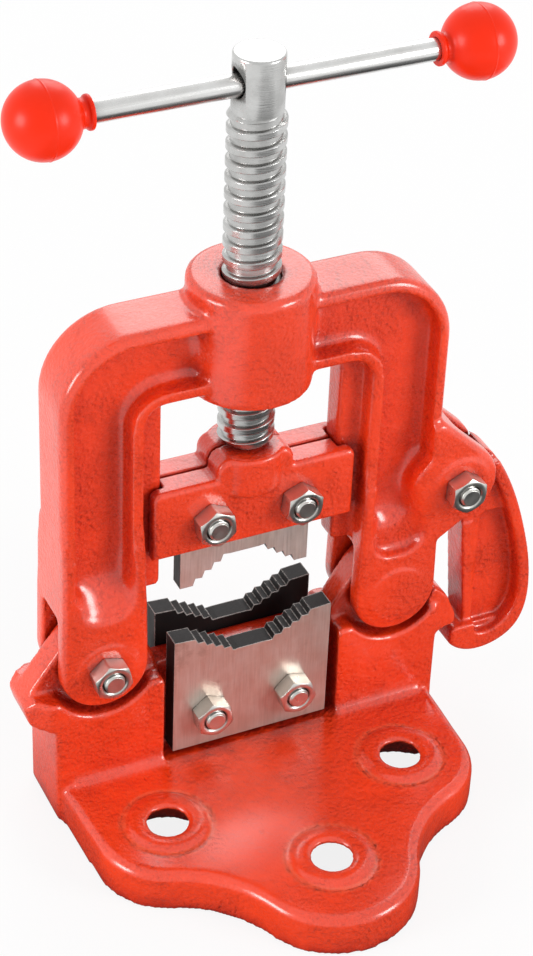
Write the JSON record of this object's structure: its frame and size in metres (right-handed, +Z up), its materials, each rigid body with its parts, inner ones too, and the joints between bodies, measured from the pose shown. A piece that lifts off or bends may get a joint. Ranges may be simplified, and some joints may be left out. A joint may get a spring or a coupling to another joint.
{
  "type": "yoke pipe vise",
  "caption": "Bench pipe vise: cast base, hinged yoke with swinging latch, hand screw with sliding bar handle, toothed vee jaw plates above and below.",
  "frame": {"origin": "on the underside of the foot, straight below the screw axis", "axes": "+Z up along the screw, +X along the jaws towards the latch, -Y towards the front of the foot; the pipe runs along Y"},
  "size_m": [0.2052, 0.1374, 0.2934],
  "materials": {
    "orange_enamel": "gloss enamel over sand casting",
    "bright_steel": "bright turned steel",
    "hardened_plate": "ground face, blackened edges and teeth",
    "zinc_plate": "zinc plated",
    "red_plastic": "gloss moulded"
  },
  "bodies": {
    "base": {"base_foot": "orange_enamel", "base_upright": "orange_enamel", "lower_jaw_plate_front": "hardened_plate", "lower_jaw_plate_rear": "hardened_plate", "lower_jaw_bolt_left": "zinc_plate", "lower_jaw_bolt_right": "zinc_plate", "lower_jaw_nut_left": "zinc_plate", "lower_jaw_nut_right": "zinc_plate", "hinge_bolt": "zinc_plate", "hinge_nut": "zinc_plate"},
    "yoke": {"yoke": "orange_enamel", "latch_bolt": "zinc_plate", "latch_nut": "zinc_plate"},
    "latch": {"latch": "orange_enamel"},
    "jaw_block": {"upper_block_front": "orange_enamel", "upper_block_rear": "orange_enamel", "upper_jaw_plate": "hardened_plate", "upper_jaw_bolt_left": "zinc_plate", "upper_jaw_bolt_right": "zinc_plate", "upper_jaw_nut_left": "zinc_plate", "upper_jaw_nut_right": "zinc_plate"},
    "screw": {"screw": "bright_steel"},
    "handle": {"handle_bar": "bright_steel", "handle_ball_left": "red_plastic", "handle_ball_right": "red_plastic"}
  },
  "joints": [
    {"name": "yoke_hinge", "type": "hinge", "parent": "base", "child": "yoke", "pos_m": [-0.0575, 0, 0.0662], "axis": [0, -1, 0], "range_deg": [0, 66]},
    {"name": "latch_swing", "type": "hinge", "parent": "yoke", "child": "latch", "pos_m": [0.0805, 0, 0.1095], "axis": [0, -1, 0], "range_deg": [-4, 45]},
    {"name": "jaw_feed", "type": "slide", "parent": "yoke", "child": "jaw_block", "axis": [0, 0, 1], "range_m": [-0.027, 0.025]},
    {"name": "screw_turn", "type": "hinge", "parent": "jaw_block", "child": "screw", "pos_m": [0, 0, 0.2], "axis": [0, 0, 1], "range_deg": [-1640, 1520]},
    {"name": "handle_slide", "type": "slide", "parent": "screw", "child": "handle", "axis": [1, 0, 0], "range_m": [-0.054, 0.0476]}
  ],
  "couplings": [
    {"joint": "screw_turn", "follows": "jaw_feed", "rad_per_m": 1047.2}
  ]
}
